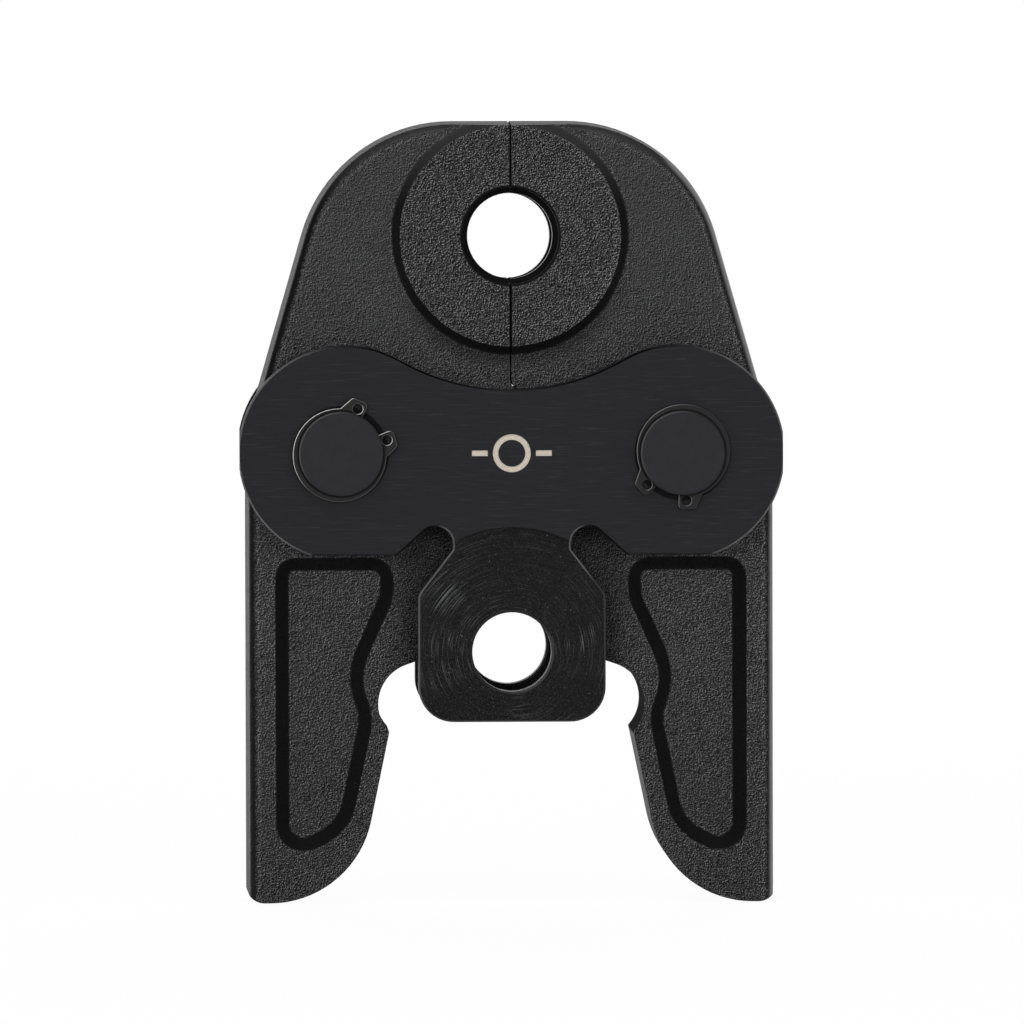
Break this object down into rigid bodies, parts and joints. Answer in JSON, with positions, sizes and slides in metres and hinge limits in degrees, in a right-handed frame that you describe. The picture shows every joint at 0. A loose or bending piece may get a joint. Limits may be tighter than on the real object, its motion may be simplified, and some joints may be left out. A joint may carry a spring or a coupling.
{
  "type": "press jaw",
  "caption": "Press jaw for a pipe press tool: levers pinned between T-shaped side plates, with a split round press cavity and a tongue bored for the tool's locking bolt.",
  "frame": {"origin": "centre of the tongue bore, midway between the two side plates", "axes": "+Z from the tongue bore up to the press cavity, +Y from the front plate to the rear plate along the bore, +X to the right seen from the front"},
  "size_m": [0.097, 0.0392, 0.1402],
  "materials": {
    "forged_jaw": "matte",
    "black_plate": "satin",
    "pin_steel": "satin",
    "ring_steel": "satin",
    "spring_steel": "satin"
  },
  "bodies": {
    "carrier": {"front_plate": "black_plate", "rear_plate": "black_plate", "left_pivot_pin": "pin_steel", "right_pivot_pin": "pin_steel", "front_left_ring": "ring_steel", "front_right_ring": "ring_steel", "rear_left_ring": "ring_steel", "rear_right_ring": "ring_steel", "closing_spring": "spring_steel"},
    "left_lever": {"left_jaw": "forged_jaw"},
    "right_lever": {"right_jaw": "forged_jaw"}
  },
  "joints": [
    {"name": "left_jaw_hinge", "type": "hinge", "parent": "carrier", "child": "left_lever", "pos_m": [-0.0305, 0, 0.0356], "axis": [0, -1, 0], "range_deg": [0, 22], "stiffness_Nm_per_rad": 2.1, "springref_deg": -21.77, "deforming": ["closing_spring"]},
    {"name": "right_jaw_hinge", "type": "hinge", "parent": "carrier", "child": "right_lever", "pos_m": [0.0305, 0, 0.0356], "axis": [0, 1, 0], "range_deg": [0, 22], "stiffness_Nm_per_rad": 2.1, "springref_deg": -21.77, "deforming": ["closing_spring"]}
  ],
  "couplings": [
    {"joint": "right_jaw_hinge", "follows": "left_jaw_hinge", "ratio": 1}
  ]
}
